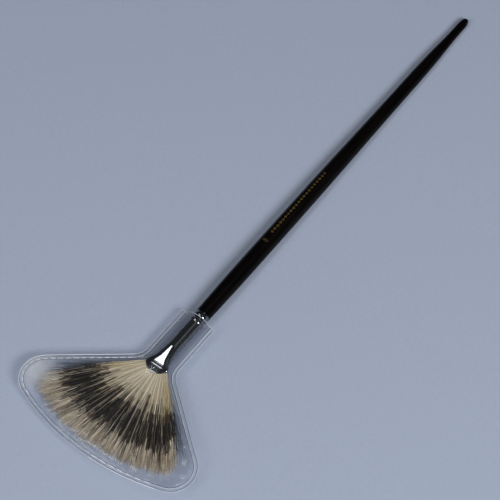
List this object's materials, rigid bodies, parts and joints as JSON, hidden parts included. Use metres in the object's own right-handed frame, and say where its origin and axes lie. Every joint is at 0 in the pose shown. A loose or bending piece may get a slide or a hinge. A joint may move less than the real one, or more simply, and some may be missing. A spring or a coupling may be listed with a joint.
{
  "type": "fan blender paint brush",
  "caption": "Long-handled fan blender paint brush with a soft banded hair head, plated ferrule, and a clear film sleeve that slides off over the hair.",
  "frame": {"origin": "on the brush's axis, in the middle of the handle's thickest, straight stretch", "axes": "+X along the handle towards its tip, hair towards -X, the fan flat in the XY plane, +Z normal to the fan on the side that carries the foil marks"},
  "size_m": [0.3205, 0.1002, 0.0092],
  "materials": {
    "handle_lacquer": "deep gloss black lacquer on wood",
    "ferrule_plate": "bright nickel plate",
    "hair": "natural badger hair, cream with a dark band",
    "thread": "waxed linen thread",
    "epoxy": "amber glue",
    "foil": "gold hot-stamping foil",
    "clear_film": "clear glossy film"
  },
  "bodies": {
    "brush": {"handle": "handle_lacquer", "ferrule": "ferrule_plate", "hair_fan": "hair", "binding_thread": "thread", "epoxy_plug": "epoxy", "foil_size_mark": "foil", "foil_ornament": "foil"},
    "sleeve": {"sleeve_upper_film": "clear_film", "sleeve_lower_film": "clear_film"}
  },
  "joints": [
    {"name": "sleeve_slide", "type": "slide", "parent": "brush", "child": "sleeve", "axis": [-1, 0, 0], "range_m": [0, 0.095], "deforming": ["hair_fan"]}
  ]
}
